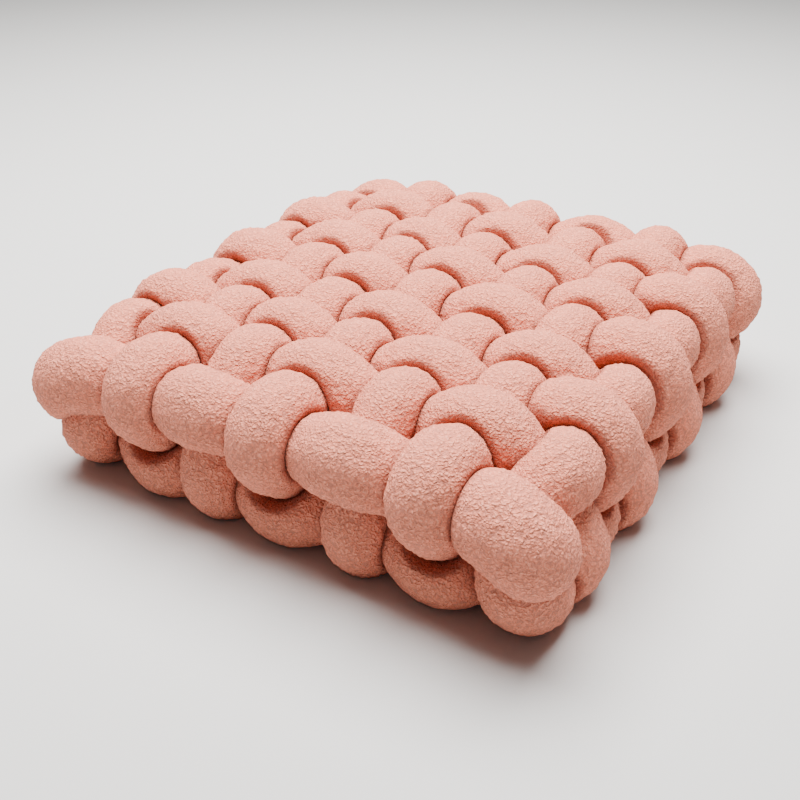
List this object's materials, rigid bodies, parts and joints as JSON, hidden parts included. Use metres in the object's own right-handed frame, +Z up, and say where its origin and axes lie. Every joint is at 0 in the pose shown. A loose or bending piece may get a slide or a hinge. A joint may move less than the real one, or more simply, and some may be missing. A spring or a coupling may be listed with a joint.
{
  "type": "woven chair pad",
  "caption": "Thick square chair pad, hand woven double-layer from stuffed boucle tubes that bulge where they cross and wrap round every edge.",
  "frame": {"origin": "under the middle of the pad's box, on the surface that it rests on", "axes": "+Z up, +Y along the long tubes and the pad's longer side, +X across them"},
  "size_m": [0.4386, 0.4798, 0.1326],
  "materials": {
    "boucle": "blush pink boucle pile, matt, curly and soft"
  },
  "bodies": {
    "root": {"cross_tube_1": "boucle", "cross_tube_2": "boucle", "cross_tube_3": "boucle", "cross_tube_4": "boucle", "cross_tube_5": "boucle", "cross_tube_6": "boucle", "cross_tube_7": "boucle", "cross_tube_8": "boucle", "cross_tube_9": "boucle", "long_tube_1": "boucle", "long_tube_2": "boucle", "long_tube_3": "boucle", "long_tube_4": "boucle", "long_tube_5": "boucle", "long_tube_6": "boucle", "long_tube_7": "boucle"}
  },
  "joints": []
}
